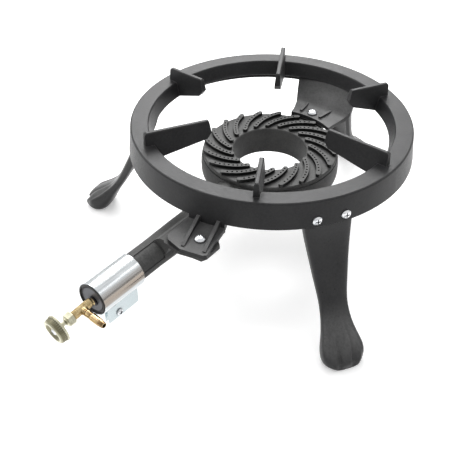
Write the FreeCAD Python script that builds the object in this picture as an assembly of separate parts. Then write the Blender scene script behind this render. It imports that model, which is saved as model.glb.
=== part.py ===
import FreeCAD, Part
import math
import os

# A cast iron gas ring burner on three paw-footed legs, in millimetres.
# +Z is up, the floor is z = 0 and the origin lies under the burner's centre. The mixing tube
# points along -Y. An azimuth is counted from the tube towards +X, in degrees.

V = FreeCAD.Vector
UP = V(0, 0, 1)
DOWN = V(0, 0, -1)
RIGHT = V(1, 0, 0)
FRONT = V(0, -1, 0)
BACK = V(0, 1, 0)

# ---- driving dimensions -------------------------------------------------------------------
RING_R = 160.0            # outer radius of the pan ring at its top
RING_TOP = 165.0          # height of the pan ring's top above the floor
RING_H = 31.4             # height of its outer wall
RING_BAND = 20.8          # width of its flat top
RING_WALL_INNER_R = 154.0  # inside face of the outer wall, where the legs bear
RING_PLATE = 7.0          # thickness of its top
RING_DRAFT = 3.0          # how far the outer wall leans out to its foot
SKIRT_H = 17.0            # depth of the sloping inner skirt

SUPPORT_RISE = 15.5       # pot supports above the ring's top
SUPPORT_OUT_R = 150.2
LONG_TIP_R = 76.0
SHORT_TIP_R = 101.0
SUPPORT_AZIMUTHS = {"long": (90, 210, 330), "short": (30, 150, 270)}

LEG_AZIMUTHS = {"leg_right": 58.2, "leg_left": -67.7, "leg_rear": 183.2}
LEG_SWAY = {"leg_right": -0.084, "leg_left": 0.0, "leg_rear": 0.0}  # sideways lean of a foot
LEG_BOLT_SIDE = 16.0      # each leg screw's distance from the leg's middle plane
LEG_BOLT_DROP = 23.0      # below the ring's top
LEG_SEAT_R = 160.7        # flat that a leg screw's head bears on
LEG_PLATE_INNER_R = 148.4

CAP_TOP = RING_TOP - 40.6  # flat of the burner cap
CAP_T = 4.6
CAP_R = 78.4
HOLE_R = 43.0             # the air hole through the burner
RIB_COUNT = 20
RIB_H = 3.8
RIB_W = 5.2
RIB_R0 = 47.0
RIB_R1 = 75.0
RIB_SWEEP = -29.8         # degrees from a rib's inner to its outer end
RIB_PHASE = 3.3
PORTS_PER_RIB = 8
PORT_R = 1.1

LUG_TOP = RING_TOP - 40.0  # where the ring's fixing plates rest on the burner's ears
LUG_PLATE = 4.8
FRONT_EAR_T = 4.0
REAR_EAR_T = 6.8
FRONT_BOLT = (45.9, -182.7)
REAR_BOLT = (0.0, 89.0)

TUBE_Z = RING_TOP - 62.9  # axis of the mixing tube
TUBE_R = 15.5
TUBE_BORE = 11.5
BOX_R = 17.2              # air box at the tube's end
BOX_BACK = -241.0
BOX_FRONT = -292.0
WINDOW = (-284.0, -265.0)  # air windows, along the tube
WINDOW_H = 15.0

SLEEVE_R = 18.3
SHEET = 1.0
SLEEVE_BACK = -236.5
SLEEVE_FRONT = -290.9
EAR_OUT_X = 9.8           # outer face of the visible clamp ear
EAR_GAP = 4.0
EAR_Y = (-240.0, -281.5)
EAR_FOOT_Z = TUBE_Z - 35.3
CLAMP_Y = -267.0
CLAMP_Z = TUBE_Z - 29.3

PLATE_R = 15.6            # disc that closes the air box and carries the valve
PLATE_FACE = -290.6
PLATE_T = 2.6

NECK_X = 1.6              # the valve's threaded neck through the disc, off the tube's axis
NECK_Z = TUBE_Z - 1.0
NECK_R = 4.0
NECK_BACK = -277.0
VALVE_START = (0.8, PLATE_FACE, TUBE_Z - 0.2)
VALVE_AZIMUTH = -4.8      # the barrel stands askew on its neck
VALVE_DIP = 9.1
# Distances down the barrel are measured from where its axis meets the disc's face.
VALVE_R = 4.65
VALVE_BACK = 1.0
VALVE_FRONT = 26.0
VALVE_BORE = 2.6
SEAT_AT = 5.4
THREAD_R = 4.3
THREAD_FRONT = 30.2
SPINDLE_R = 2.3
GLAND_AF = 12.5
GLAND_FRONT = 34.4
BARB_AT = 13.9
BARB_START = 6.0
BARB_LENGTH = 32.5
BARB_R = 4.15
KNOB_BACK = 40.3
KNOB_DEPTH = 9.8
KNOB_SEAT = 7.2           # depth of the knob's hub, back to front
KNOB_R = 14.75
KNOB_FLUTES = 40


# ---- helpers ------------------------------------------------------------------------------
def cylinder(r, start, axis, length):
    return Part.makeCylinder(r, length, start, axis)


def tube_of(outer, inner, start, axis, length):
    return cylinder(outer, start, axis, length).cut(cylinder(inner, start, axis, length))


def hexagon(across_flats, start, axis, length):
    """A hexagonal prism whose first corner direction is level or along X."""
    r = across_flats / math.sqrt(3)
    side = RIGHT if abs(axis.dot(RIGHT)) < 0.5 else UP
    other = axis.cross(side)
    corners = []
    for i in range(6):
        a = math.radians(60 * i)
        corners.append(start + side * (r * math.cos(a)) + other * (r * math.sin(a)))
    face = Part.Face(Part.makePolygon(corners + corners[:1]))
    return face.extrude(axis * length)


def prism(points, extrusion):
    face = Part.Face(Part.makePolygon(points + points[:1]))
    return face.extrude(extrusion)


def plan(points, low, high):
    """A level plate from plan points (x, y) between two heights."""
    return prism([V(x, y, low) for x, y in points], UP * (high - low))


def spun(edges, centre=V(0, 0, 0), axis=UP):
    """A body of revolution from the edges of a closed profile."""
    return Part.Face(Part.Wire(Part.__sortEdges__(edges))).revolve(centre, axis, 360)


def lines(points):
    return [Part.LineSegment(a, b).toShape() for a, b in zip(points, points[1:])]


def spun_polygon(profile, centre=V(0, 0, 0), axis=UP, radial=RIGHT):
    """A body of revolution from (radius, distance along the axis) corners."""
    points = [centre + radial * r + axis * h for r, h in profile]
    return spun(lines(points + points[:1]), centre, axis)


def arc(a, middle, b):
    return Part.Arc(a, middle, b).toShape()


def turned(shape, azimuth):
    """A copy of what was drawn along -Y, turned to an azimuth."""
    copy = shape.copy()
    copy.rotate(V(0, 0, 0), UP, azimuth)
    return copy


def polar(r, azimuth, z=0.0):
    a = math.radians(azimuth)
    return V(r * math.sin(a), -r * math.cos(a), z)


def joined(first, others):
    shape = first
    for other in others:
        shape = shape.fuse(other)
    return shape.removeSplitter()


def screw(head_r, head_h, shank_r, length, start, axis, slot=0.0):
    """A dome headed screw: its head stands out along axis from start, its shank runs back."""
    side = RIGHT if abs(axis.dot(RIGHT)) < 0.5 else UP
    crown = start + axis * head_h
    crown_edge = crown + side * (0.22 * head_r)
    shoulder = start + side * head_r + axis * (0.45 * head_h)
    over = start + side * (0.7 * head_r) + axis * (0.86 * head_h)
    end = start - axis * length
    chamfer = min(0.6, shank_r * 0.3)
    corners = [
        crown_edge,
        crown,
        end,
        end + side * (shank_r - chamfer),
        end + side * shank_r + axis * chamfer,
        start + side * shank_r,
        start + side * head_r,
        shoulder,
    ]
    body = spun(lines(corners) + [arc(shoulder, over, crown_edge)], start, axis)
    if not slot:
        return body
    other = axis.cross(side)
    cuts = []
    for a, b in ((side, other), (other, side)):
        corner = start + axis * (0.42 * head_h) - a * (0.58 * head_r) - b * (slot / 2)
        base = [corner, corner + a * (1.16 * head_r)]
        base += [base[1] + b * slot, corner + b * slot]
        cuts.append(prism(base, axis * head_h))
    return body.cut(cuts[0].fuse(cuts[1]))


def nut(across_flats, height, bore_r, start, axis):
    body = hexagon(across_flats, start, axis, height)
    dome_r = across_flats / math.sqrt(3)
    profile = [(0, 0), (dome_r - 0.6, 0), (dome_r + 0.1, 0.7), (dome_r + 0.1, height - 0.7)]
    profile += [(dome_r - 0.6, height), (0, height)]
    side = RIGHT if abs(axis.dot(RIGHT)) < 0.5 else UP
    round_off = spun_polygon(profile, start, axis, side)
    return body.common(round_off).cut(cylinder(bore_r, start, axis, height))


def save(name, shape, solids=1):
    """Writes one node and says what is in it."""
    found = len(shape.Solids)
    if found != solids or not shape.isValid():
        raise ValueError("%s has %d solids, valid %s" % (name, found, shape.isValid()))
    if shape.ShapeType == "Compound" and found == 1:
        shape = shape.Solids[0]
    shape.exportStep("parts/" + name + ".step")
    print("%-20s %9.0f mm3" % (name, shape.Volume))


def save_group(name, shapes):
    save(name, Part.makeCompound(shapes), len(shapes))


# ---- pan ring -----------------------------------------------------------------------------
def pot_support(tip_r):
    """One upright blade, thicker at its foot, drawn along -Y."""
    top = RING_TOP + SUPPORT_RISE
    low = RING_TOP - SKIRT_H + 0.3
    outline = [
        (SUPPORT_OUT_R, RING_TOP - 2),
        (SUPPORT_OUT_R, top - 2.6),
        (SUPPORT_OUT_R - 0.8, top - 0.8),
        (SUPPORT_OUT_R - 2.6, top),
        (tip_r + 1.4, top),
        (tip_r, top - 1.4),
        (tip_r - 2.4, RING_TOP + 0.8),
        (tip_r + 2.6, RING_TOP - 6.2),
        (135.2, low),
        (139.0, low),
        (141.6, RING_TOP - 2),
    ]
    blade = prism([V(-10, -r, z) for r, z in outline], RIGHT * 20)
    base_w = 4.8
    top_w = 2.5
    section = [
        (-base_w, low - 1),
        (-top_w, top - 1.0),
        (-top_w + 0.9, top + 0.01),
        (top_w - 0.9, top + 0.01),
        (top_w, top - 1.0),
        (base_w, low - 1),
    ]
    taper = prism([V(x, -tip_r + 10, z) for x, z in section], FRONT * 100)
    return blade.common(taper)


def ring_band():
    """The inverted channel: flat top, leaning outer wall and short sloping skirt."""
    foot = RING_TOP - RING_H
    foot_r = RING_R + RING_DRAFT
    inner_r = RING_R - RING_BAND
    under = RING_TOP - RING_PLATE
    skirt = RING_TOP - SKIRT_H
    profile = [
        (inner_r + 1.1, RING_TOP),
        (RING_R - 1.6, RING_TOP),
        (RING_R - 0.5, RING_TOP - 0.5),
        (RING_R + 0.1, RING_TOP - 1.6),
        (foot_r, foot + 1.0),
        (foot_r - 0.9, foot),
        (RING_WALL_INNER_R + 0.8, foot),
        (RING_WALL_INNER_R, foot + 0.8),
        (RING_WALL_INNER_R, under),
        (inner_r + 5.0, under),
        (inner_r + 0.2, skirt + 0.6),
        (inner_r - 0.5, skirt),
        (inner_r - 4.4, skirt),
        (inner_r - 4.9, skirt + 0.8),
        (inner_r, RING_TOP - 1.1),
    ]
    return spun_polygon(profile)


def rear_web():
    """The plate that carries the burner's rear ear and sweeps up to the ring's inner skirt."""
    top = LUG_TOP + LUG_PLATE
    spots = [V(-70, y, z) for y, z in (
        (72.0, LUG_TOP), (72.0, top), (95.5, top), (101.7, top + 0.8), (107.5, top + 3.2),
        (140.0, top + 22.0), (140.0, top + 14.8), (104.0, LUG_TOP))]
    edges = lines(spots[:3]) + [arc(*spots[2:5])] + lines(spots[4:] + spots[:1])
    strip = Part.Face(Part.Wire(Part.__sortEdges__(edges))).extrude(RIGHT * 140)
    outline = [(-20.4, 68), (-24.7, 85), (-31.0, 100), (-39.7, 114.6), (-50.0, 133), (-54, 141)]
    outline += [(33.0, 141), (34.0, 134), (36.5, 126.5), (39.4, 118.5), (40.2, 111.5)]
    outline += [(36.6, 97), (35.0, 85), (33.8, 68)]
    web = strip.common(plan(outline, 100, 160))
    web = web.cut(cylinder(CAP_R + 1.6, V(0, 0, 100), UP, 60))
    web = web.common(cylinder(RING_R - RING_BAND - 0.6, V(0, 0, 100), UP, 60))
    ribs = []
    for hand in (-1, 1):
        base = [(hand * 12, 84), (hand * 15, 84), (hand * 18, 105), (hand * 15, 105)]
        ribs.append(plan(base, top - 1, top + 2.4))
    hole = cylinder(2.2, V(28.0, 126.5, 100), UP, 60)
    return joined(web, ribs).cut(hole)


def front_tab():
    """The plate outside the ring that carries the burner's front ear."""
    top = LUG_TOP + LUG_PLATE
    outline = [(14, -154), (50, -148), (54.9, -155.8), (59.8, -174.2), (66.0, -196.9)]
    outline += [(64.0, -199.9), (39.1, -206.1), (20.4, -202.2), (15.0, -197.0)]
    plate = plan(outline, LUG_TOP, top)
    root = plan([(14, -166), (56, -158), (50, -144), (14, -152)], LUG_TOP, RING_TOP - RING_H + 1.2)
    keep = tube_of(RING_R + RING_DRAFT, RING_WALL_INNER_R + 0.4, V(0, 0, 100), UP, 60)
    pieces = [root.common(keep)]
    for start, end in ((8.9, 10.9), (17.0, 17.4)):
        near = polar(RING_R + 0.6, start)
        far = polar(205.0, end)
        along = far - near
        across = V(-along.y, along.x, 0).normalize() * 3.6
        low = V(near.x, near.y, top - 1)
        high = V(near.x, near.y, top + 7.8)
        tip_high = V(far.x, far.y, top + 1.2)
        tip = V(far.x, far.y, top - 1)
        rib = prism([low, high, tip_high, tip], across)
        rib.translate(across * -0.5)
        pieces.append(rib)
    return joined(plate, pieces)


def leg_seats():
    """Flats and holes for the leg screws in the ring's outer wall."""
    cuts = []
    z = RING_TOP - LEG_BOLT_DROP
    for azimuth in LEG_AZIMUTHS.values():
        for hand in (-1, 1):
            start = V(hand * LEG_BOLT_SIDE, -LEG_SEAT_R, z)
            flat = cylinder(6.0, start, FRONT, 10)
            hole = cylinder(3.1, V(start.x, -145, z), FRONT, 20)
            cuts.append(turned(flat.fuse(hole), azimuth))
    return cuts


def pan_ring():
    blades = []
    for size, tip_r in (("long", LONG_TIP_R), ("short", SHORT_TIP_R)):
        for azimuth in SUPPORT_AZIMUTHS[size]:
            blades.append(turned(pot_support(tip_r), azimuth))
    shape = joined(ring_band(), blades + [rear_web(), front_tab()])
    for x, y in (FRONT_BOLT, REAR_BOLT):
        shape = shape.cut(cylinder(3.2, V(x, y, 100), UP, 60))
    for cut in leg_seats():
        shape = shape.cut(cut)
    return shape


# ---- legs ---------------------------------------------------------------------------------
# Stations down a leg: (outer r, outer z, inner r, inner z, width, toe depth, squareness).
LEG_STATIONS = [
    (157.2, 151.0, 142.6, 151.0, 56.0, 0.0, 5.0),
    (157.2, 134.0, 143.2, 131.0, 56.0, 0.0, 5.0),
    (166.0, 107.0, 154.5, 101.0, 46.5, 0.0, 4.5),
    (181.6, 75.0, 170.8, 69.0, 37.5, 0.0, 4.0),
    (190.6, 57.0, 181.0, 50.5, 31.5, 0.2, 3.4),
    (198.6, 45.5, 189.6, 37.0, 32.0, 0.8, 3.0),
    (209.5, 36.0, 198.5, 23.0, 35.5, 1.8, 2.8),
    (220.0, 29.5, 206.5, 6.0, 43.5, 2.6, 2.8),
    (229.5, 24.5, 217.0, -5.0, 50.0, 3.0, 2.8),
    (236.8, 18.6, 231.0, -4.0, 45.0, 2.4, 2.6),
    (241.2, 10.5, 239.8, 0.4, 27.0, 0.6, 2.2),
]
# The hollow up the back of a leg: (outer r, outer z, inner r, inner z, width).
LEG_HOLLOW = [
    (LEG_PLATE_INNER_R, 158.0, 132.0, 158.0, 45.0),
    (LEG_PLATE_INNER_R, 134.0, 133.0, 128.0, 43.5),
    (160.6, 104.0, 148.0, 97.4, 34.0),
    (176.0, 72.0, 164.0, 65.3, 27.0),
    (184.6, 54.4, 175.0, 47.8, 20.0),
    (189.6, 43.0, 184.0, 38.6, 8.0),
]
SECTION_POINTS = 40


def section(outer, inner, width, toes=0.0, squareness=4.0):
    """Control points round a leg, with three toes on the outer side."""
    middle = (outer + inner) * 0.5
    half = (outer - inner) * 0.5
    across = (outer - inner).normalize()
    points = []
    for i in range(SECTION_POINTS):
        a = 2 * math.pi * (i + 0.5) / SECTION_POINTS
        u = math.copysign(abs(math.cos(a)) ** (2 / squareness), math.cos(a))
        v = math.copysign(abs(math.sin(a)) ** (2 / squareness), math.sin(a))
        cleft = toes * (0.5 - 0.5 * math.cos(3 * math.pi * (u + 1))) * max(0.0, min(1.0, 2.5 * v))
        points.append(middle + half * v - across * cleft + RIGHT * (u * width / 2))
    return points


def skinned(rows):
    """A solid whose smooth skin follows rows of control points, with flat ends."""
    around = len(rows[0])
    along = len(rows)
    columns = [[row[i] for row in rows] for i in range(around)]
    skin = Part.BSplineSurface()
    skin.buildFromPolesMultsKnots(
        columns,
        [1] * (around + 1),
        [4] + [1] * (along - 4) + [4],
        [float(i) for i in range(around + 1)],
        [float(i) for i in range(along - 2)],
        True,
        False,
        3,
        3,
    )
    side = skin.toShape()
    ends = []
    for value in (0.0, float(along - 3)):
        ends.append(Part.Face(Part.Wire(skin.vIso(value).toShape())))
    shell = Part.makeShell([side] + ends)
    shell.sewShape()
    solid = Part.makeSolid(shell)
    if solid.Volume < 0:
        solid.reverse()
    return solid


def leg(sway):
    """One leg, drawn along -Y: a channel that runs out into a three-toed paw."""
    rows = []
    for ro, zo, ri, zi, width, toes, squareness in LEG_STATIONS:
        x = sway * max(0.0, ro - LEG_STATIONS[0][0])
        rows.append(section(V(x, -ro, zo), V(x, -ri, zi), width, toes, squareness))
    hollow = []
    for ro, zo, ri, zi, width in LEG_HOLLOW:
        x = sway * max(0.0, ro - LEG_HOLLOW[0][0])
        hollow.append(section(V(x, -ro, zo), V(x, -ri, zi), width))
    shape = skinned(rows).cut(skinned(hollow))
    shape = shape.cut(plan([(-60, -300), (60, -300), (60, 0), (-60, 0)], -20, 0))
    low = RING_TOP - RING_H - 0.2
    outside = tube_of(200, RING_WALL_INNER_R - 0.04, V(0, 0, low), UP, 40)
    shape = shape.cut(outside)
    for hand in (-1, 1):
        start = V(hand * LEG_BOLT_SIDE, -130, RING_TOP - LEG_BOLT_DROP)
        shape = shape.cut(cylinder(3.1, start, FRONT, 40))
        spot_face = V(hand * LEG_BOLT_SIDE, -LEG_PLATE_INNER_R + 0.25, RING_TOP - LEG_BOLT_DROP)
        shape = shape.cut(cylinder(6.2, spot_face, BACK, 12))
    return shape


def leg_fasteners():
    """Screws, spring washers and nuts of the three legs."""
    screws, washers, nuts = [], [], []
    z = RING_TOP - LEG_BOLT_DROP
    washer_t = 1.4
    for azimuth in LEG_AZIMUTHS.values():
        for hand in (-1, 1):
            x = hand * LEG_BOLT_SIDE
            seat = V(x, -LEG_SEAT_R, z)
            inside = V(x, -LEG_PLATE_INNER_R + 0.25, z)
            screws.append(turned(screw(5.2, 3.4, 2.95, 20.6, seat, FRONT, 1.3), azimuth))
            washers.append(turned(tube_of(5.0, 3.0, inside, BACK, washer_t), azimuth))
            back = inside + BACK * washer_t
            nuts.append(turned(nut(10.0, 4.6, 2.97, back, BACK), azimuth))
    save_group("leg_screws", screws)
    save_group("leg_washers", washers)
    save_group("leg_nuts", nuts)


# ---- burner -------------------------------------------------------------------------------
CAP_SCREW_R = 61.0
CAP_SCREW_AZIMUTHS = (60, 180, 300)
RIM_Z = CAP_TOP - CAP_T
CAP_SCREW_SEAT = 88.2


def rib_path(azimuth, along, offset):
    """A point on a rib's spiral, offset sideways in plan."""
    spots = []
    for t in (along - 0.01, along, along + 0.01):
        r = RIB_R0 + t * (RIB_R1 - RIB_R0)
        spots.append(polar(r, azimuth + t * RIB_SWEEP))
    tangent = (spots[2] - spots[0]).normalize()
    return spots[1] + V(-tangent.y, tangent.x, 0) * offset


def rib(azimuth):
    """One raised rib with round ends."""
    half = RIB_W / 2
    ends = {}
    for t in (0.0, 0.5, 1.0):
        ends[t] = (rib_path(azimuth, t, half), rib_path(azimuth, t, -half))
    inner_tip = rib_path(azimuth, -half / (RIB_R1 - RIB_R0) * 0.78, 0)
    outer_tip = rib_path(azimuth, 1 + half / (RIB_R1 - RIB_R0) * 0.78, 0)
    edges = [
        arc(ends[0.0][0], ends[0.5][0], ends[1.0][0]),
        arc(ends[1.0][0], outer_tip, ends[1.0][1]),
        arc(ends[1.0][1], ends[0.5][1], ends[0.0][1]),
        arc(ends[0.0][1], inner_tip, ends[0.0][0]),
    ]
    face = Part.Face(Part.Wire(edges))
    face.translate(V(0, 0, CAP_TOP - 1))
    return face.extrude(UP * (RIB_H + 1))


def burner_cap():
    """The annular cap: curved raised ribs, each with a row of gas ports through it."""
    profile = [
        (HOLE_R, RIM_Z),
        (HOLE_R, CAP_TOP - 0.8),
        (HOLE_R + 0.8, CAP_TOP),
        (CAP_R - 1.2, CAP_TOP),
        (CAP_R, CAP_TOP - 1.2),
        (CAP_R, RIM_Z),
    ]
    ribs = [rib(RIB_PHASE + 360.0 * i / RIB_COUNT) for i in range(RIB_COUNT)]
    shape = spun_polygon(profile).fuse(ribs)
    ports = []
    for i in range(RIB_COUNT):
        azimuth = RIB_PHASE + 360.0 * i / RIB_COUNT
        for k in range(PORTS_PER_RIB):
            along = 0.06 + 0.84 * k / (PORTS_PER_RIB - 1)
            spot = rib_path(azimuth, along, 0)
            ports.append(cylinder(PORT_R, V(spot.x, spot.y, RIM_Z - 1), UP, CAP_T + RIB_H + 2))
    for azimuth in CAP_SCREW_AZIMUTHS:
        ports.append(cylinder(2.5, polar(CAP_SCREW_R, azimuth, RIM_Z - 1), UP, CAP_T - 0.4))
    return shape.cut(Part.makeCompound(ports))


def bowl():
    """The trough-shaped bowl under the cap, with its central air hole."""
    p = [V(r, 0, z) for r, z in (
        (HOLE_R + 0.2, RIM_Z), (HOLE_R + 0.2, 91.4), (58.0, 85.4), (71.5, 88.0), (78.0, 94.2),
        (80.4, 104.0), (80.4, 112.0), (79.2, RIM_Z))]
    edges = lines([p[0], p[1]])
    edges += [arc(p[1], p[2], p[3]), arc(p[3], p[4], p[5]), arc(p[5], p[6], p[7])]
    edges += lines([p[7], p[0]])
    return spun(edges)


def gas_chamber():
    p = [V(r, 0, z) for r, z in (
        (47.6, RIM_Z + 5), (47.6, 94.4), (58.6, 90.4), (69.5, 92.6), (74.2, 97.6),
        (75.6, 106.0), (74.6, RIM_Z + 5))]
    edges = lines([p[0], p[1]]) + [arc(p[1], p[2], p[3]), arc(p[3], p[4], p[5])]
    edges += lines([p[5], p[6], p[0]])
    return spun(edges)


def mixing_tube():
    """The cast tube from the bowl to the air box, with the front ear's saddle."""
    flare = [(0, 0), (17.5, 0), (17.2, 40), (16.6, 98), (TUBE_R, 140), (TUBE_R, 178), (0, 178)]
    axis_start = V(0, -65, TUBE_Z)
    shape = spun_polygon(flare, axis_start, FRONT)
    box_start = V(0, BOX_BACK, TUBE_Z)
    box = [(0, -4), (TUBE_R, -4), (BOX_R, 1), (BOX_R, BOX_BACK - BOX_FRONT - 0.6)]
    box += [(BOX_R - 0.6, BOX_BACK - BOX_FRONT), (0, BOX_BACK - BOX_FRONT)]
    shape = shape.fuse(spun_polygon(box, box_start, FRONT))
    # a shallow cast panel on the tube's upper right side, just behind the sleeve
    ring = tube_of(TUBE_R + 2, TUBE_R - 0.9, V(0, -203, TUBE_Z), FRONT, 30)
    quadrant = [(0, 0), (40, 2.1), (40, 40), (1.4, 40)]
    corner = prism([V(x, -202, TUBE_Z + z) for x, z in quadrant], FRONT * 32)
    return shape.cut(ring.common(corner))


def front_ear():
    saddle = [(-3, TUBE_Z), (-3, LUG_TOP - 9.5), (8, LUG_TOP - 0.6), (12, LUG_TOP), (22, LUG_TOP)]
    saddle += [(22, LUG_TOP - FRONT_EAR_T), (15, TUBE_Z + 4)]
    block = prism([V(x, -152, z) for x, z in saddle], FRONT * 50)
    outline = [(12, -150), (52, -150), (52.8, -165.6), (55.9, -166.4), (63.7, -173.6)]
    outline += [(64.0, -194), (61.5, -200.1), (50.9, -201.5), (36, -205.5), (16, -204), (12, -198)]
    return block.fuse(plan(outline, LUG_TOP - FRONT_EAR_T, LUG_TOP))


def rear_ear():
    outline = [(-24, 70), (24, 70), (19, 92), (12, 102.5), (-12, 102.5), (-19, 92)]
    ear = plan(outline, LUG_TOP - REAR_EAR_T, LUG_TOP)
    return ear.cut(cylinder(CAP_R + 0.8, V(0, 0, RIM_Z), UP, 20))


def burner_body():
    shape = joined(bowl(), [mixing_tube(), front_ear(), rear_ear()])
    shape = shape.cut(gas_chamber())
    posts = []
    for azimuth in CAP_SCREW_AZIMUTHS:
        posts.append(cylinder(5.2, polar(CAP_SCREW_R, azimuth, 89.0), UP, RIM_Z - 89.0))
    shape = joined(shape, posts)
    for azimuth in CAP_SCREW_AZIMUTHS:
        spot = polar(CAP_SCREW_R, azimuth, 60)
        shape = shape.cut(cylinder(2.6, spot, UP, 80))
        shape = shape.cut(cylinder(5.6, spot, UP, CAP_SCREW_SEAT - 60))
    shape = shape.cut(cylinder(TUBE_BORE, V(0, -58, TUBE_Z), FRONT, 190))
    shape = shape.cut(cylinder(14.4, V(0, -244, TUBE_Z), FRONT, 60))
    shape = shape.cut(cylinder(PLATE_R, V(0, PLATE_FACE + PLATE_T, TUBE_Z), FRONT, 20))
    length = WINDOW[1] - WINDOW[0]
    box = Part.makeBox(60, length, WINDOW_H, V(-30, WINDOW[0], TUBE_Z - WINDOW_H / 2))
    shape = shape.cut(box)
    for x, y in (FRONT_BOLT, REAR_BOLT):
        shape = shape.cut(cylinder(3.2, V(x, y, 80), UP, 60))
    return shape


def burner_fasteners():
    screws, washers, nuts, cap_screws = [], [], [], []
    top = LUG_TOP + LUG_PLATE
    for (x, y), ear_t in ((FRONT_BOLT, FRONT_EAR_T), (REAR_BOLT, REAR_EAR_T)):
        under = LUG_TOP - ear_t
        screws.append(screw(5.8, 3.6, 2.95, LUG_PLATE + ear_t + 8.4, V(x, y, top), UP))
        washers.append(tube_of(6.2, 3.0, V(x, y, under), DOWN, 1.4))
        nuts.append(nut(10.0, 5.0, 2.97, V(x, y, under - 1.4), DOWN))
    for azimuth in CAP_SCREW_AZIMUTHS:
        seat = polar(CAP_SCREW_R, azimuth, CAP_SCREW_SEAT)
        length = RIM_Z + 3.2 - CAP_SCREW_SEAT
        cap_screws.append(screw(4.6, 3.0, 2.48, length, seat, DOWN, 1.2))
    save_group("burner_screws", screws)
    save_group("burner_washers", washers)
    save_group("burner_nuts", nuts)
    save_group("cap_screws", cap_screws)


# ---- air shutter --------------------------------------------------------------------------
def sheet_strip(points, y0, y1):
    return prism([V(x, y0, TUBE_Z + z) for x, z in points], FRONT * (y0 - y1))


def air_shutter():
    """A rolled sheet band, split at its lower right, with two clamp ears hanging down."""
    inner = SLEEVE_R - SHEET
    start = V(0, SLEEVE_BACK, TUBE_Z)
    band = tube_of(SLEEVE_R, inner, start, FRONT, SLEEVE_BACK - SLEEVE_FRONT)
    x_out = EAR_OUT_X
    x_in = EAR_OUT_X - SHEET - EAR_GAP - SHEET
    slot = [(x_in + SHEET, -5), (x_out - SHEET, -5), (x_out - SHEET, -40), (x_in + SHEET, -40)]
    band = band.cut(sheet_strip(slot, SLEEVE_BACK + 1, SLEEVE_FRONT - 1))
    foot = EAR_FOOT_Z - TUBE_Z
    pieces = []
    for x in (x_in, x_out - SHEET):
        root = -math.sqrt(inner * inner - (x + SHEET / 2) ** 2) - 0.5
        flap = [(x, root), (x + SHEET, root), (x + SHEET, foot), (x, foot)]
        pieces.append(sheet_strip(flap, EAR_Y[0], EAR_Y[1]))
    shape = joined(band, pieces)
    return shape.cut(cylinder(2.2, V(x_in - 2, CLAMP_Y, CLAMP_Z), RIGHT, 20))


def clamp_parts():
    seat = V(EAR_OUT_X, CLAMP_Y, CLAMP_Z)
    back = V(EAR_OUT_X - 2 * SHEET - EAR_GAP, CLAMP_Y, CLAMP_Z)
    save("clamp_screw", screw(3.7, 2.6, 1.95, 12.5, seat, RIGHT, 1.2))
    save("clamp_nut", nut(7.0, 3.2, 1.97, back, RIGHT * -1))


# ---- valve --------------------------------------------------------------------------------
def aimed(shape):
    """Moves what was drawn along -Y from the origin onto the valve's barrel."""
    copy = shape.copy()
    copy.rotate(V(0, 0, 0), RIGHT, VALVE_DIP)
    copy.rotate(V(0, 0, 0), UP, VALVE_AZIMUTH)
    copy.translate(V(*VALVE_START))
    return copy


def barrel(profile):
    """A turned body from (radius, distance down the barrel) corners."""
    return spun_polygon(profile, V(0, 0, 0), FRONT)


def on_neck(profile):
    """A body turned about the neck's axis from (radius, y) corners."""
    corners = [(r, -y) for r, y in profile]
    return spun_polygon(corners, V(NECK_X, 0, NECK_Z), FRONT)


def end_plate():
    back = PLATE_FACE + PLATE_T
    edge = PLATE_R - 0.02
    profile = [
        (0, -back),
        (0, -PLATE_FACE),
        (13.2, -PLATE_FACE),
        (14.0, -PLATE_FACE - 0.7),
        (14.8, -PLATE_FACE),
        (edge, -PLATE_FACE),
        (edge, -back),
    ]
    disc = spun_polygon(profile, V(0, 0, TUBE_Z), FRONT)
    return disc.cut(cylinder(NECK_R + 0.05, V(NECK_X, back + 1, NECK_Z), FRONT, PLATE_T + 2))


def valve_body():
    """Brass body: threaded neck through the disc, skewed barrel, gland thread, barb socket."""
    body = barrel([
        (0, VALVE_BACK),
        (2.4, VALVE_BACK + 0.3),
        (3.9, VALVE_BACK + 1.2),
        (VALVE_R, VALVE_BACK + 2.7),
        (VALVE_R, VALVE_FRONT),
        (THREAD_R, VALVE_FRONT),
        (THREAD_R, THREAD_FRONT),
        (0, THREAD_FRONT),
    ])
    socket = cylinder(4.2, V(0, -BARB_AT, 0), RIGHT, BARB_START)
    neck = on_neck([
        (0, NECK_BACK),
        (NECK_R, NECK_BACK),
        (NECK_R, PLATE_FACE),
        (5.4, PLATE_FACE),
        (5.4, PLATE_FACE - 1.3),
        (NECK_R, PLATE_FACE - 1.9),
        (3.0, PLATE_FACE - 4.4),
        (0, PLATE_FACE - 4.4),
    ])
    shape = joined(aimed(body), [aimed(socket), neck])
    bore = barrel([
        (0, 2.6),
        (1.2, 2.6),
        (1.2, SEAT_AT),
        (VALVE_BORE, SEAT_AT + 1.6),
        (VALVE_BORE, 27.6),
        (3.3, 27.6),
        (3.3, THREAD_FRONT + 1),
        (0, THREAD_FRONT + 1),
    ])
    gas_way = cylinder(1.9, V(0, -BARB_AT, 0), RIGHT, 10)
    jet_way = on_neck([
        (0, -270),
        (2.6, -270),
        (2.6, -282),
        (1.2, -282),
        (1.2, PLATE_FACE - 3.4),
        (0, PLATE_FACE - 3.4),
    ])
    for way in (aimed(bore), aimed(gas_way), jet_way):
        shape = shape.cut(way)
    return shape


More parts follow.
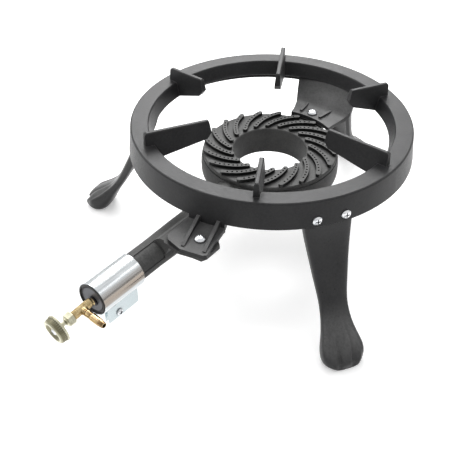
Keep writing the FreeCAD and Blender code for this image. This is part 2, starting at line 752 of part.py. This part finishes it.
def hose_barb():
    """A ridged hose tail that starts at the body's socket face."""
    inner = 1.9
    profile = [
        (inner, BARB_START),
        (3.9, BARB_START),
        (3.9, 7.6),
        (3.3, 7.9),
        (3.3, 8.6),
        (BARB_R, 8.8),
        (BARB_R, 9.6),
        (3.45, 14.6),
        (3.3, 15.4),
        (BARB_R, 15.6),
        (BARB_R, 17.2),
        (3.95, 26.0),
        (3.0, BARB_LENGTH - 0.4),
        (2.8, BARB_LENGTH),
        (2.3, BARB_LENGTH),
        (inner, BARB_LENGTH - 2.0),
    ]
    return aimed(spun_polygon(profile, V(0, -BARB_AT, 0), RIGHT, FRONT))


def gland_nut():
    """Hexagon over the body's gland thread, with a short collar round the spindle."""
    back = VALVE_FRONT
    front = GLAND_FRONT - 1.6
    corner_r = GLAND_AF / math.sqrt(3)
    trim = barrel([
        (0, back),
        (corner_r - 0.8, back),
        (corner_r + 0.1, back + 0.7),
        (corner_r + 0.1, front - 0.7),
        (corner_r - 0.8, front),
        (0, front),
    ])
    body = hexagon(GLAND_AF, V(0, -back, 0), FRONT, front - back).common(trim)
    collar = barrel([
        (0, front - 1),
        (5.2, front - 1),
        (5.2, front),
        (4.4, GLAND_FRONT),
        (0, GLAND_FRONT),
    ])
    bore = SPINDLE_R + 0.05
    inside = barrel([
        (0, back - 1),
        (THREAD_R + 0.05, back - 1),
        (THREAD_R + 0.05, THREAD_FRONT + 0.2),
        (3.25, THREAD_FRONT + 0.2),
        (3.25, 31.8),
        (bore, 31.8),
        (bore, GLAND_FRONT + 1),
        (0, GLAND_FRONT + 1),
    ])
    return aimed(body.fuse(collar).removeSplitter().cut(inside))


def gland_packing():
    inner = SPINDLE_R + 0.04
    return aimed(barrel([(inner, 27.7), (3.25, 27.7), (3.25, 31.7), (inner, 31.7)]))


def spindle():
    """Needle, packing land and knob journal in one turned piece."""
    end = KNOB_BACK + KNOB_SEAT
    body = barrel([
        (0, SEAT_AT + 0.2),
        (0.5, SEAT_AT + 0.2),
        (1.7, SEAT_AT + 5.0),
        (1.7, VALVE_FRONT - 0.8),
        (SPINDLE_R, VALVE_FRONT),
        (SPINDLE_R, end),
        (0, end),
    ])
    return aimed(body.cut(cylinder(1.55, V(0, -end - 0.1, 0), BACK, 7)))


def knob():
    """Knurled knob with a wide back flange and a dished front."""
    bore = SPINDLE_R + 0.05
    start = V(0, -KNOB_BACK, 0)
    profile = [
        (bore, 0),
        (5.2, 0),
        (5.6, 0.8),
        (13.8, 1.0),
        (KNOB_R, 1.6),
        (KNOB_R, 2.9),
        (13.9, 3.5),
        (13.4, 8.6),
        (12.2, KNOB_DEPTH),
        (9.8, KNOB_DEPTH),
        (7.8, KNOB_SEAT),
        (bore, KNOB_SEAT),
    ]
    shape = spun_polygon(profile, start, FRONT)
    flutes = []
    for i in range(KNOB_FLUTES):
        a = 2 * math.pi * i / KNOB_FLUTES
        side = V(math.cos(a), 0, math.sin(a))
        flutes.append(cylinder(0.62, start + side * 13.85 + FRONT * 3.2, FRONT, 8))
        flutes.append(cylinder(0.5, start + side * (KNOB_R + 0.22), FRONT, 4))
    return aimed(shape.cut(Part.makeCompound(flutes)))


def knob_screw():
    seat = V(0, -KNOB_BACK - KNOB_SEAT - 0.05, 0)
    return aimed(screw(3.4, 2.2, 1.5, 6.0, seat, FRONT, 1.0))


def gas_jet():
    """Brass jet screwed into the valve's neck, facing up the mixing tube."""
    body = on_neck([(0.45, -281.9), (2.55, -281.9), (2.55, NECK_BACK + 0.1), (0.45, NECK_BACK + 0.1)])
    head = hexagon(7.0, V(NECK_X, NECK_BACK + 0.1, NECK_Z), BACK, 4.0)
    nose = on_neck([(0.45, -273.0), (2.6, -273.0), (1.6, -271.5), (0.45, -271.5)])
    shape = body.fuse(head).fuse(nose).removeSplitter()
    return shape.cut(cylinder(0.45, V(NECK_X, -290, NECK_Z), BACK, 30))


def lock_nut():
    start = V(NECK_X, PLATE_FACE + PLATE_T, NECK_Z)
    return nut(12.0, 4.0, NECK_R + 0.02, start, BACK)


def main():
    os.makedirs("parts", exist_ok=True)
    save("pan_ring", pan_ring())
    for name, azimuth in LEG_AZIMUTHS.items():
        save(name, turned(leg(LEG_SWAY[name]), azimuth))
    leg_fasteners()
    save("burner_cap", burner_cap())
    save("burner_body", burner_body())
    burner_fasteners()
    save("air_shutter", air_shutter())
    clamp_parts()
    save("end_plate", end_plate())
    save("lock_nut", lock_nut())
    save("valve_body", valve_body())
    save("hose_barb", hose_barb())
    save("gas_jet", gas_jet())
    save("gland_nut", gland_nut())
    save("gland_packing", gland_packing())
    save("spindle", spindle())
    save("knob", knob())
    save("knob_screw", knob_screw())


main()
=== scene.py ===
import math

import bmesh
import bpy
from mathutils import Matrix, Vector, noise


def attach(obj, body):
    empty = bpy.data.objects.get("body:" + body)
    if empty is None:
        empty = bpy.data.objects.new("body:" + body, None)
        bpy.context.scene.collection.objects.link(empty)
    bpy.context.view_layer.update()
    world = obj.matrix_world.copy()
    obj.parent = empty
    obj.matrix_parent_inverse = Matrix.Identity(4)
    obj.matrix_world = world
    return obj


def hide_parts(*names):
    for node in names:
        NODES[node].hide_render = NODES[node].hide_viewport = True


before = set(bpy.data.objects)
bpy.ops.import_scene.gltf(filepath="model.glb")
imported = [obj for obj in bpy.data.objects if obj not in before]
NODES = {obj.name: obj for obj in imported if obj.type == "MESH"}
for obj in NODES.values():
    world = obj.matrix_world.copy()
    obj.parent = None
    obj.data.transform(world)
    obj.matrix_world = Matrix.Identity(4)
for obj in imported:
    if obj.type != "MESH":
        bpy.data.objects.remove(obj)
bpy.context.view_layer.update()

# ---- the object, in metres ------------------------------------------------------------------
RING_TOP = 0.165
TUBE_Z = 0.1021
SLEEVE_R = 0.0183
DISC_R = 0.0156
NECK_COLLAR = -0.2929          # y where the neck's dark-coloured collar begins
VALVE_POINT = (0.0008, -0.2906, 0.1019)
VALVE_AXIS = (-0.0826, -0.9839, -0.1582)
BARB_POINT = (-0.00035, -0.30428, 0.09970)
BARB_AXIS = (0.9965, -0.0837, 0.0)
BARB_VALLEY_R, BARB_CREST_R = 0.0032, 0.0041
KNOB_R = 0.01475
FLUTE_DEPTH = 0.0012
RIB_FIELD = (0.0436, 0.0778)   # inner and outer radius of the burner cap's ribs
CAP_PLATE_Z = 0.1200           # the cap's plate, where its ribs begin

LEG_AZIMUTHS = {"leg_right": 58.2, "leg_left": -67.7, "leg_rear": 183.2}
LEG_SWAY = {"leg_right": -0.084, "leg_left": 0.0, "leg_rear": 0.0}
LEG_TOP_R = 0.1572
FOOT_START_R = 0.186
SOLE_Z = 0.001
# (distance from the stand's axis, half width of the foot there)
FOOT_HALF = [
    (0.185, 0.0150),
    (0.200, 0.0158),
    (0.210, 0.0175),
    (0.220, 0.0212),
    (0.230, 0.0240),
    (0.242, 0.0225),
]
CLEFT_DEPTH = 0.0021
CLEFT_DEEPER = 0.0012          # added to the clefts at the tip of the foot
OUTER_DEPTH = 0.0010           # groove at each outer edge of the foot
HOLLOW_DEPTH, HOLLOW_R, HOLLOW_WIDTH = 0.0011, 0.203, 0.008
GRAIN_DEPTH, GRAIN_SCALE = 0.00012, 90
WELD = 0.00001
SHARP_ANGLE = math.radians(34)

# ---- the studio -----------------------------------------------------------------------------
SKY = 0.86
FLOOR_GLOW = 0.30
FLOOR_SIZE = 60
FLOOR_DROP = 0.0002
LIGHTS_AIM = (0, 0, 0.1)
CAMERA_PLACE = (0.43496, -0.63523, RING_TOP + 0.46890)
CAMERA_LOOK = (-0.4808, 0.6085, -0.6313)
CAMERA_SENSOR = 36.0
CAMERA_LENS = 62.72


# ---- node helpers ---------------------------------------------------------------------------
class Graph:
    """A material with its node tree and a principled shader."""

    def __init__(self, name):
        self.material = bpy.data.materials.new(name)
        self.material.use_nodes = True
        self.nodes = self.material.node_tree.nodes
        self.links = self.material.node_tree.links
        self.shader = self.nodes["Principled BSDF"]
        self.place = self.nodes.new("ShaderNodeTexCoord").outputs["Object"]

    def node(self, kind, values=None, **settings):
        made = self.nodes.new(kind)
        for key, value in settings.items():
            setattr(made, key, value)
        for key, value in (values or {}).items():
            if isinstance(value, bpy.types.NodeSocket):
                self.links.new(value, made.inputs[key])
            else:
                made.inputs[key].default_value = value
        return made

    def noise(self, scale, detail=4.0, rough=0.55, place=None, distortion=0.0):
        values = {"Scale": scale, "Detail": detail, "Roughness": rough, "Distortion": distortion}
        values["Vector"] = place or self.place
        return self.node("ShaderNodeTexNoise", values).outputs["Fac"]

    def ramp(self, factor, stops, smooth=False):
        made = self.node("ShaderNodeValToRGB", {"Fac": factor})
        elements = made.color_ramp.elements
        if smooth:
            made.color_ramp.interpolation = "EASE"
        elements.remove(elements[1])
        elements[0].position = stops[0][0]
        elements[0].color = grey(stops[0][1])
        for position, colour in stops[1:]:
            elements.new(position).color = grey(colour)
        return made.outputs["Color"]

    def mix(self, factor, a, b, blend="MIX"):
        made = self.node("ShaderNodeMix", data_type="RGBA", blend_type=blend)
        for index, value in ((0, factor), (6, a), (7, b)):
            if isinstance(value, bpy.types.NodeSocket):
                self.links.new(value, made.inputs[index])
            else:
                made.inputs[index].default_value = value if index == 0 else grey(value)
        return made.outputs[2]

    def math(self, operation, a, b=0.0, clamp=False):
        made = self.node("ShaderNodeMath", operation=operation, use_clamp=clamp)
        for index, value in ((0, a), (1, b)):
            if isinstance(value, bpy.types.NodeSocket):
                self.links.new(value, made.inputs[index])
            else:
                made.inputs[index].default_value = value
        return made.outputs[0]

    def vector(self, operation, *values):
        return self.node("ShaderNodeVectorMath", dict(enumerate(values)), operation=operation)

    def split(self, vector):
        return self.node("ShaderNodeSeparateXYZ", {"Vector": vector}).outputs

    def edges(self, radius, low=0.0, high=0.35):
        """1 on sharp outer and inner edges, 0 on flats."""
        rounded = self.node("ShaderNodeBevel", {"Radius": radius}, samples=6).outputs[0]
        true = self.node("ShaderNodeNewGeometry").outputs["True Normal"]
        dot = self.vector("DOT_PRODUCT", rounded, true)
        lean = self.math("SUBTRACT", 1.0, dot.outputs["Value"])
        span = self.node("ShaderNodeMapRange", {"Value": lean, "From Min": low, "From Max": high})
        return span.outputs["Result"]

    def crevices(self, distance, low=0.35, high=0.95):
        """0 deep in grooves and corners, 1 in the open."""
        made = self.node("ShaderNodeAmbientOcclusion", {"Distance": distance}, samples=8)
        return self.ramp(made.outputs["AO"], [(low, 0.0), (high, 1.0)])

    def bump(self, *layers, radius=0.0):
        """Stacks (height, distance in metres, strength) layers, over rounded edges if wanted."""
        normal = None
        if radius:
            normal = self.node("ShaderNodeBevel", {"Radius": radius}, samples=6).outputs[0]
        for height, distance, strength in layers:
            values = {"Height": height, "Distance": distance, "Strength": strength}
            if normal is not None:
                values["Normal"] = normal
            normal = self.node("ShaderNodeBump", values).outputs[0]
        self.links.new(normal, self.shader.inputs["Normal"])

    def put(self, **inputs):
        for key, value in inputs.items():
            socket = self.shader.inputs[key.replace("_", " ")]
            if isinstance(value, bpy.types.NodeSocket):
                self.links.new(value, socket)
            elif socket.type == "RGBA":
                socket.default_value = grey(value)
            else:
                socket.default_value = value


def grey(value):
    """A number or a colour as four channels."""
    if isinstance(value, (int, float)):
        return (value, value, value, 1.0)
    return tuple(value) + (1.0,) * (4 - len(value))


# ---- materials ------------------------------------------------------------------------------
def iron(name, dark, light, gloss, grain, edge=0.17, radius=0.0006, specular=0.22, wear=0.75,
         top_highlight=None, shade=None, rib_side_shade=None):
    """Thin satin paint over cast iron: fine grain, slow mottling, paler worn edges.

    top_highlight is (tone, z_low, z_high, fade): a painted highlight, a paler tone on what faces up
    between two heights, standing in for the light from above.
    shade is (distance, tone): the dark tone deep in corners and holes.
    rib_side_shade is the tone of painted shade on the upright sides of the burner's ribs and in its
    ports.
    """
    g = Graph(name)
    slow = g.noise(28, 3.0)
    fine = g.noise(420, 6.0, 0.6)
    pits = g.noise(1500, 3.0, 0.5)
    tone = g.mix(g.ramp(slow, [(0.35, 0.0), (0.68, 1.0)]), dark, light)
    tone = g.mix(g.ramp(fine, [(0.42, 0.0), (0.62, 0.30)]), tone, [c * 1.5 for c in light[:3]])
    # Painted highlight: up-facing surfaces between two heights are made paler, standing in for the
    # light from above.
    if top_highlight:
        pale, z_low, z_high, fade = top_highlight
        facing = g.split(g.node("ShaderNodeNewGeometry").outputs["Normal"])[2]
        up = g.ramp(facing, [(0.15, 0.0), (0.75, 1.0)])
        height = g.split(g.place)[2]
        low = g.math("DIVIDE", g.math("SUBTRACT", z_high, height), fade, True)
        high = g.math("DIVIDE", g.math("SUBTRACT", height, z_low), fade, True)
        top_highlight_mask = g.math("MULTIPLY", up, g.math("MULTIPLY", low, high))
        top_highlight_mask = g.math("MULTIPLY", top_highlight_mask, g.ramp(fine, [(0.30, 0.65), (0.65, 1.0)]))
        top_highlight_mask = g.math("MULTIPLY", top_highlight_mask, g.ramp(slow, [(0.30, 0.55), (0.62, 1.0)]))
        tone = g.mix(top_highlight_mask, tone, pale)
    # Painted shade: the upright sides of the burner's ribs and its ports are made near black.
    if rib_side_shade:
        tone = g.mix(rib_side_shade_mask(g), tone, rib_side_shade)
    if shade:
        distance, deep = shade
        tone = g.mix(g.crevices(distance, 0.30, 0.90), deep, tone)
    patches = g.ramp(fine, [(0.30, 0.25), (0.60, 1.0)])
    worn = g.math("MULTIPLY", g.edges(radius * 1.6, 0.02, 0.25), patches)
    tone = g.mix(g.math("MULTIPLY", worn, wear), tone, edge)
    rough = g.ramp(fine, [(0.30, gloss - 0.07), (0.70, gloss + 0.09)])
    g.put(Base_Color=tone, Roughness=rough, Specular_IOR_Level=specular)
    g.bump((slow, 0.0010, 0.20), (fine, 0.00030, grain), (pits, 0.00012, grain), radius=radius)
    return g.material


def rib_side_shade_mask(g):
    """1 on upright faces inside the rib field of the burner cap, where painted shade goes."""
    x, y, z = g.split(g.place)[:3]
    radius = g.math("SQRT", g.math("ADD", g.math("MULTIPLY", x, x), g.math("MULTIPLY", y, y)))
    facing = g.split(g.node("ShaderNodeNewGeometry").outputs["True Normal"])[2]
    upright = g.math("SUBTRACT", 1.0, g.ramp(g.math("ABSOLUTE", facing), [(0.3, 0.0), (0.7, 1.0)]))
    past_inner = g.math("GREATER_THAN", radius, RIB_FIELD[0])
    inside = g.math("MULTIPLY", past_inner, g.math("LESS_THAN", radius, RIB_FIELD[1]))
    above = g.math("GREATER_THAN", z, CAP_PLATE_Z)
    return g.math("MULTIPLY", upright, g.math("MULTIPLY", inside, above))


def zinc():
    """Bright zinc plating with painted shade in its corners, for the fasteners."""
    g = Graph("zinc_plate")
    fine = g.noise(900, 4.0)
    blotch = g.noise(160, 3.0)
    tone = g.mix(g.ramp(blotch, [(0.35, 0.0), (0.65, 1.0)]), (0.62, 0.64, 0.67), (0.82, 0.83, 0.84))
    # Painted shade: darker deep in recesses and corners.
    tone = g.mix(g.crevices(0.002, 0.3, 0.85), (0.05, 0.05, 0.055), tone)
    g.put(Base_Color=tone, Metallic=1.0, Roughness=g.ramp(fine, [(0.3, 0.22), (0.7, 0.38)]))
    g.bump((fine, 0.00008, 0.35), radius=0.0003)
    return g.material


def chrome_sheet():
    """Bright plated sheet with drawing lines along it, a painted warm brown reflection along its
    upper right flank, a painted bluish reflection underneath and painted shade in its corners.
    """
    g = Graph("chrome_sheet")
    x, _, z = g.split(g.place)[:3]
    up = g.math("DIVIDE", g.math("SUBTRACT", z, TUBE_Z), SLEEVE_R)
    along = g.node("ShaderNodeMapping", {"Vector": g.place, "Scale": (1.0, 0.04, 1.0)}).outputs[0]
    streak = g.noise(700, 5.0, 0.6, along)
    cloud = g.noise(60, 3.0, 0.5, along)
    # Painted reflection: a warm brown band along the upper right flank stands in for a brown
    # surround mirrored in the sleeve.
    height = g.math("ADD", up, g.math("MULTIPLY", g.math("SUBTRACT", cloud, 0.5), 0.25))
    right = g.ramp(g.math("MULTIPLY", x, 300.0), [(0.0, 0.0), (1.0, 1.0)])
    span = g.node("ShaderNodeMapRange", {"Value": height, "From Min": -1.0, "From Max": 1.0})
    reflection_band = [(0.46, 0.0), (0.54, 0.9), (0.66, 1.0), (0.80, 0.5), (0.88, 0.0)]
    warm_reflection = g.ramp(span.outputs[0], reflection_band, True)
    warm_reflection = g.math("MULTIPLY", warm_reflection, right)
    tone = g.mix(g.ramp(streak, [(0.35, 0.0), (0.65, 1.0)]), (0.60, 0.63, 0.65), (0.74, 0.765, 0.78))
    tone = g.mix(g.math("MULTIPLY", warm_reflection, 0.85), tone, (0.25, 0.195, 0.145))
    # Painted reflection: a bluish tone along the underside of the sleeve.
    underside_reflection = g.ramp(span.outputs[0], [(0.0, 1.0), (0.16, 1.0), (0.24, 0.0)])
    tone = g.mix(g.math("MULTIPLY", underside_reflection, 0.7), tone, (0.52, 0.60, 0.62))
    tone = g.mix(g.edges(0.0005, 0.04, 0.3), tone, (0.30, 0.33, 0.35))
    # Painted shade: darker in corners and recesses.
    tone = g.mix(g.crevices(0.004), (0.10, 0.11, 0.12), tone)
    g.put(Base_Color=tone, Metallic=1.0, Roughness=g.ramp(streak, [(0.3, 0.16), (0.7, 0.27)]))
    g.bump((streak, 0.00005, 0.25), (cloud, 0.0006, 0.15), radius=0.0003)
    return g.material


def disc_paint():
    """Dark paint on the end disc, paler towards its black rim."""
    g = Graph("disc_paint")
    x, _, z = g.split(g.place)[:3]
    x2 = g.math("MULTIPLY", x, x)
    lift = g.math("SUBTRACT", z, TUBE_Z)
    radius = g.math("SQRT", g.math("ADD", x2, g.math("MULTIPLY", lift, lift)))
    span = g.node("ShaderNodeMapRange", {"Value": radius, "From Min": 0.0, "From Max": DISC_R})
    fine = g.noise(500, 5.0, 0.6)
    tone = g.ramp(span.outputs[0], [
        (0.20, (0.030, 0.032, 0.036)),
        (0.45, (0.085, 0.090, 0.105)),
        (0.80, (0.110, 0.115, 0.130)),
        (0.87, (0.012, 0.012, 0.013)),
    ])
    tone = g.mix(g.ramp(fine, [(0.40, 0.0), (0.65, 0.35)]), tone, (0.13, 0.135, 0.15))
    g.put(Base_Color=tone, Roughness=g.ramp(fine, [(0.3, 0.32), (0.7, 0.50)]), Metallic=0.25)
    g.bump((fine, 0.0002, 0.35), radius=0.0004)
    return g.material


def brass(name, deep, pale, stain_and_shade, rough, place_axis, dark_from=None, groove=None):
    """Turned brass: fine rings across the turning axis, with painted shade in the corners.

    dark_from is the y beyond which the piece is coloured dark.
    groove is (point, direction, r_deep, r_crest): painted shade below the crests around that axis.
    """
    g = Graph(name)
    fine = g.noise(900, 4.0)
    blotch = g.noise(210, 3.0, 0.6)
    stretch = g.node("ShaderNodeMapping", {"Vector": g.place, "Scale": place_axis}).outputs[0]
    rings = g.noise(1600, 3.0, 0.6, stretch)
    tone = g.mix(g.ramp(blotch, [(0.32, 0.0), (0.66, 1.0)]), deep, pale)
    tone = g.mix(g.ramp(rings, [(0.45, 0.0), (0.70, 0.30)]), tone, stain_and_shade)
    tone = g.mix(g.edges(0.0004, 0.05, 0.4), tone, [min(1.0, c * 1.25) for c in pale])
    # Painted shade in corners and grooves, in the same dark tone as the stains in the turning rings.
    tone = g.mix(g.crevices(0.0018, 0.42, 0.98), stain_and_shade, tone)
    if groove:
        # Painted shade in the grooves below the crests.
        point, direction, r_deep, r_crest = groove
        arm = g.vector("SUBTRACT", g.place, point).outputs[0]
        span = g.vector("CROSS_PRODUCT", arm, direction).outputs[0]
        off = g.vector("LENGTH", span).outputs["Value"]
        normal = g.node("ShaderNodeNewGeometry").outputs["True Normal"]
        along = g.vector("DOT_PRODUCT", normal, direction).outputs["Value"]
        across = g.ramp(g.math("ABSOLUTE", along), [(0.55, 1.0), (0.9, 0.0)])
        low = g.math("DIVIDE", g.math("SUBTRACT", r_crest, off), r_crest - r_deep, True)
        tone = g.mix(g.math("MULTIPLY", g.math("MULTIPLY", low, across), 0.85), tone, stain_and_shade)
    # Coloured dark from the given y onwards, from the neck's collar by the end disc.
    if dark_from is not None:
        beyond = g.math("SUBTRACT", g.split(g.place)[1], dark_from)
        depth = g.math("MULTIPLY", beyond, 2500.0, True)
        tone = g.mix(depth, tone, (0.035, 0.035, 0.038))
    rough = g.ramp(fine, [(0.3, rough - 0.05), (0.7, rough + 0.08)])
    g.put(Base_Color=tone, Metallic=1.0, Roughness=rough)
    g.bump((rings, 0.00005, 0.5), (fine, 0.00004, 0.3), radius=0.0003)
    return g.material


def packing():
    """Pale fluoropolymer round the spindle."""
    g = Graph("packing_cord")
    fine = g.noise(1200, 4.0)
    tone = g.ramp(fine, [(0.3, (0.72, 0.71, 0.67)), (0.7, (0.86, 0.85, 0.82))])
    g.put(Base_Color=tone, Roughness=0.6)
    g.bump((fine, 0.0001, 0.4))
    return g.material


def paint_nodes():
    """Gives every CAD node its material, then stands the modelled feet in for the plain ones."""
    # The ring's web and tab and the legs' feet get a painted highlight on their up-facing surfaces.
    ring = iron("ring_iron", (0.020, 0.020, 0.021), (0.030, 0.030, 0.031), gloss=0.42, grain=0.30,
                top_highlight=(0.098, 0.120, 0.152, 0.003))
    leg = iron("leg_iron", (0.016, 0.016, 0.017), (0.024, 0.024, 0.025), gloss=0.34, grain=0.10,
               edge=0.07, radius=0.0008, specular=0.36, top_highlight=(0.105, 0.004, 0.056, 0.022))
    burner = iron("burner_iron", (0.050, 0.050, 0.050), (0.092, 0.092, 0.090), gloss=0.56,
                  grain=0.85, edge=0.14, radius=0.0003, specular=0.25, wear=0.35,
                  shade=(0.0032, 0.004), rib_side_shade=0.005)
    metal = zinc()
    golden = brass("valve_brass", (0.38, 0.28, 0.13), (0.66, 0.52, 0.29), (0.11, 0.075, 0.03),
                   0.26, (0.1, 1.0, 0.1), dark_from=NECK_COLLAR)
    barb = brass("barb_brass", (0.47, 0.31, 0.15), (0.75, 0.58, 0.34), (0.12, 0.07, 0.03),
                 0.22, (1.0, 0.1, 0.1), groove=(BARB_POINT, BARB_AXIS, BARB_VALLEY_R, BARB_CREST_R))
    plated = ((0.46, 0.44, 0.32), (0.74, 0.72, 0.57), (0.12, 0.11, 0.06), 0.34, (0.1, 1.0, 0.1))
    dull = brass("gland_brass", *plated)
    knurled = brass("knob_brass", *plated,
                    groove=(VALVE_POINT, VALVE_AXIS, KNOB_R - FLUTE_DEPTH, KNOB_R - 0.0001))
    looks = {
        "pan_ring": ring,
        "leg_right": leg,
        "leg_left": leg,
        "leg_rear": leg,
        "burner_cap": burner,
        "burner_body": burner,
        "air_shutter": chrome_sheet(),
        "end_plate": disc_paint(),
        "valve_body": golden,
        "hose_barb": barb,
        "gas_jet": golden,
        "spindle": dull,
        "gland_nut": dull,
        "knob": knurled,
        "gland_packing": packing(),
    }
    for name, part in NODES.items():
        look = looks.get(name, metal)
        for slot in part.material_slots:
            slot.link = "OBJECT"
            slot.material = look
        if not part.material_slots:
            part.data.materials.append(look)
    for name in LEG_AZIMUTHS:
        paw_leg(name, leg)


# ---- legs with modelled toes ----------------------------------------------------------------
def eased(value, low, high):
    t = min(1.0, max(0.0, (value - low) / (high - low)))
    return t * t * (3 - 2 * t)


def foot_half(r):
    for (r0, w0), (r1, w1) in zip(FOOT_HALF, FOOT_HALF[1:]):
        if r <= r1:
            return w0 + (w1 - w0) * max(0.0, (r - r0) / (r1 - r0))
    return FOOT_HALF[-1][1]


def paw_leg(name, look):
    """A copy of the leg with clefts between its three toes pressed into the foot's skin."""
    azimuth = math.radians(LEG_AZIMUTHS[name])
    out = Vector((math.sin(azimuth), -math.cos(azimuth), 0))
    side = Vector((math.cos(azimuth), math.sin(azimuth), 0))
    mesh = bpy.data.meshes.new(name + "_cast")
    bm = bmesh.new()
    bm.from_mesh(NODES[name].data)
    bmesh.ops.remove_doubles(bm, verts=bm.verts, dist=WELD)
    bm.normal_update()
    moves = []
    for vertex in bm.verts:
        r = vertex.co.dot(out)
        if r < FOOT_START_R or vertex.co.z < SOLE_Z:
            continue
        s = vertex.co.dot(side) - LEG_SWAY[name] * (r - LEG_TOP_R)
        u = s / foot_half(r)
        reach = eased(r, 0.190, 0.224) * eased(vertex.co.z, SOLE_Z, 0.007)
        facing = eased(vertex.normal.dot(out) * 0.6 + vertex.normal.z * 0.8, 0.05, 0.45)
        cleft = sum(math.exp(-((u - at) / 0.13) ** 2) for at in (-0.36, 0.36))
        outer = sum(math.exp(-((u - at) / 0.10) ** 2) for at in (-0.84, 0.84))
        tip = eased(r, 0.222, 0.238)
        depth = (CLEFT_DEPTH + CLEFT_DEEPER * tip) * cleft + OUTER_DEPTH * outer
        hollow = HOLLOW_DEPTH * math.exp(-((r - HOLLOW_R) / HOLLOW_WIDTH) ** 2)
        hollow *= math.exp(-(u / 0.7) ** 2)
        grain = max(0, GRAIN_DEPTH * noise.noise(vertex.co * GRAIN_SCALE))
        inward = depth * reach * facing + hollow * facing + grain
        moves.append((vertex, vertex.normal * -inward))
    for vertex, move in moves:
        vertex.co += move
    bm.normal_update()
    bm.to_mesh(mesh)
    bm.free()
    mesh.shade_smooth()
    mesh.set_sharp_from_angle(angle=SHARP_ANGLE)
    piece = bpy.data.objects.new(name + "_cast", mesh)
    bpy.context.collection.objects.link(piece)
    mesh.materials.clear()
    mesh.materials.append(look)
    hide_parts(name)
    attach(piece, "stand")


# ---- studio ---------------------------------------------------------------------------------
def floor():
    """Plain pale paper that glows a little, so that it stays white under the object."""
    g = Graph("floor_paper")
    grain = g.noise(300, 4.0)
    slow = g.noise(3, 2.0)
    tone = g.mix(g.ramp(slow, [(0.3, 0.0), (0.7, 1.0)]), (0.93, 0.93, 0.93), (0.96, 0.96, 0.96))
    g.put(Base_Color=tone, Roughness=0.9, Specular_IOR_Level=0.1)
    g.put(Emission_Color=tone, Emission_Strength=FLOOR_GLOW)
    g.bump((grain, 0.0002, 0.1))
    bpy.ops.mesh.primitive_grid_add(x_subdivisions=8, y_subdivisions=8, size=FLOOR_SIZE,
                                    location=(0, 0, -FLOOR_DROP))
    ground = bpy.context.object
    ground.name = "floor"
    ground.data.materials.append(g.material)
    ground.visible_diffuse = False


def studio():
    """A bright ceiling over a dim surround, so that tops shine and upright walls stay dark."""
    world = bpy.data.worlds.new("studio")
    bpy.context.scene.world = world
    world.use_nodes = True
    nodes, links = world.node_tree.nodes, world.node_tree.links
    nodes.clear()
    place = nodes.new("ShaderNodeTexCoord")
    parts = nodes.new("ShaderNodeSeparateXYZ")
    ramp = nodes.new("ShaderNodeValToRGB")
    sky = nodes.new("ShaderNodeBackground")
    out = nodes.new("ShaderNodeOutputWorld")
    span = nodes.new("ShaderNodeMapRange")
    span.inputs["From Min"].default_value = -1.0
    links.new(place.outputs["Generated"], parts.inputs[0])
    links.new(parts.outputs["Z"], span.inputs["Value"])
    links.new(span.outputs[0], ramp.inputs[0])
    links.new(ramp.outputs[0], sky.inputs["Color"])
    links.new(sky.outputs[0], out.inputs["Surface"])
    ramp.color_ramp.elements[0].position = 0.42
    ramp.color_ramp.elements[0].color = (0.10, 0.10, 0.105, 1)
    ramp.color_ramp.elements[1].position = 0.66
    ramp.color_ramp.elements[1].color = (1.0, 1.0, 1.0, 1)
    sky.inputs["Strength"].default_value = SKY
    softbox("sheen", (-1.15, 1.46, 1.70), 1.5, 62)
    softbox("glint", (1.08, 1.40, 1.64), 0.9, 4)
    softbox("key", (-1.9, -0.5, 1.6), 1.2, 16)


def softbox(name, where, size, power):
    light = bpy.data.lights.new(name, "AREA")
    light.shape = "SQUARE"
    light.size = size
    light.energy = power
    lamp = bpy.data.objects.new(name, light)
    bpy.context.collection.objects.link(lamp)
    lamp.location = where
    lamp.rotation_mode = "QUATERNION"
    aim = Vector(LIGHTS_AIM) - Vector(where)
    lamp.rotation_quaternion = aim.to_track_quat("-Z", "Y")


def camera():
    data = bpy.data.cameras.new("camera")
    data.sensor_width = CAMERA_SENSOR
    data.lens = CAMERA_LENS
    cam = bpy.data.objects.new("camera", data)
    bpy.context.collection.objects.link(cam)
    cam.location = CAMERA_PLACE
    cam.rotation_mode = "QUATERNION"
    cam.rotation_quaternion = Vector(CAMERA_LOOK).to_track_quat("-Z", "Y")
    bpy.context.scene.camera = cam


paint_nodes()
floor()
studio()
camera()
bpy.context.scene.view_settings.view_transform = "Standard"
